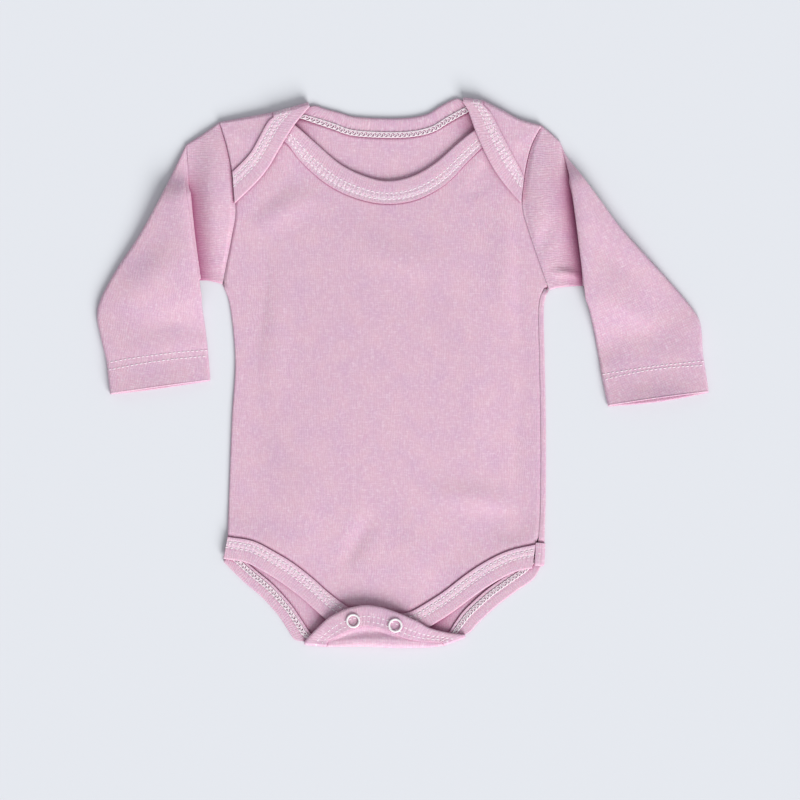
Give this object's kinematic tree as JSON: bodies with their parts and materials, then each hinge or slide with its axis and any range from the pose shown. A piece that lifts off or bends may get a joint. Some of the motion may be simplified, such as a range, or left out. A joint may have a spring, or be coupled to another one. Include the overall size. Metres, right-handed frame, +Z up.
{
  "type": "baby onesie",
  "caption": "Long-sleeved baby onesie with overlapped lap shoulders, bound neck and legs, and a snapped crotch tab, laid flat with its front up.",
  "frame": {"origin": "on the surface that the garment lies on, under the middle of its outline", "axes": "+Z up from the surface; +X to the right as the front is seen, from cuff to cuff; +Y towards the neck"},
  "size_m": [0.4057, 0.3653, 0.0101],
  "materials": {
    "jersey": "matte",
    "binding": "matte",
    "snap": "satin"
  },
  "bodies": {
    "root": {"back_panel": "jersey", "front_panel": "jersey", "sleeve_left": "jersey", "sleeve_right": "jersey", "front_neck_binding": "binding", "back_neck_binding": "binding", "front_leg_binding": "binding", "back_leg_binding": "binding", "snap_ring_left": "snap", "snap_ring_right": "snap", "snap_socket_left": "snap", "snap_socket_right": "snap", "snap_stud_left": "snap", "snap_stud_right": "snap"}
  },
  "joints": []
}
